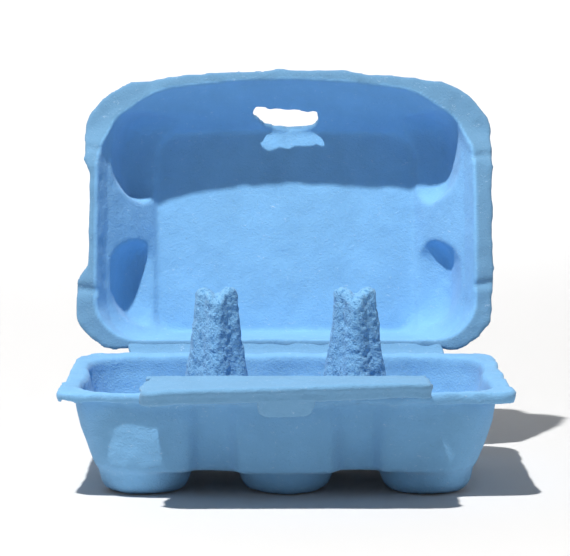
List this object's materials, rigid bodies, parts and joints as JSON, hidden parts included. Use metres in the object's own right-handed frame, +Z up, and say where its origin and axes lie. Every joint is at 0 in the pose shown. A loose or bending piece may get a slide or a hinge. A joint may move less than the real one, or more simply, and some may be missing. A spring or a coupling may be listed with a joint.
{
  "type": "egg carton",
  "caption": "Moulded-pulp egg carton with cupped tray, posts between the cups, hinged domed lid with a slot, and a front lock flap with a tab, standing open.",
  "frame": {"origin": "on the surface it stands on, under the middle of the open carton's bounding box", "axes": "+Z up, +X along the carton to its right as seen from the front, -Y towards the front, where the flap is"},
  "size_m": [0.153, 0.1814, 0.1375],
  "materials": {
    "pulp_tray": "matt dyed moulded pulp, mesh-marked",
    "pulp_lid": "matt dyed moulded pulp",
    "pulp_crease": "matt dyed moulded pulp, creased",
    "pulp_flap": "matt dyed moulded pulp",
    "pulp_tab": "matt dyed moulded pulp"
  },
  "bodies": {
    "tray": {"tray": "pulp_tray", "rear_hinge_web": "pulp_crease", "flap_hinge_web": "pulp_crease"},
    "lid": {"lid": "pulp_lid"},
    "flap": {"lock_flap": "pulp_flap"},
    "tab": {"lock_tab": "pulp_tab"}
  },
  "joints": [
    {"name": "lid_hinge", "type": "hinge", "parent": "tray", "child": "lid", "pos_m": [0, 0.03433, 0.03615], "axis": [-1, 0, 0], "range_deg": [-105, 75]},
    {"name": "flap_hinge", "type": "hinge", "parent": "tray", "child": "flap", "pos_m": [0, -0.06327, 0.0409], "axis": [-1, 0, 0], "range_deg": [-20, 124]},
    {"name": "tab_flex", "type": "hinge", "parent": "flap", "child": "tab", "pos_m": [0, -0.08693, 0.03684], "axis": [-1, 0, 0], "range_deg": [-12, 12], "stiffness_Nm_per_rad": 0.01}
  ]
}
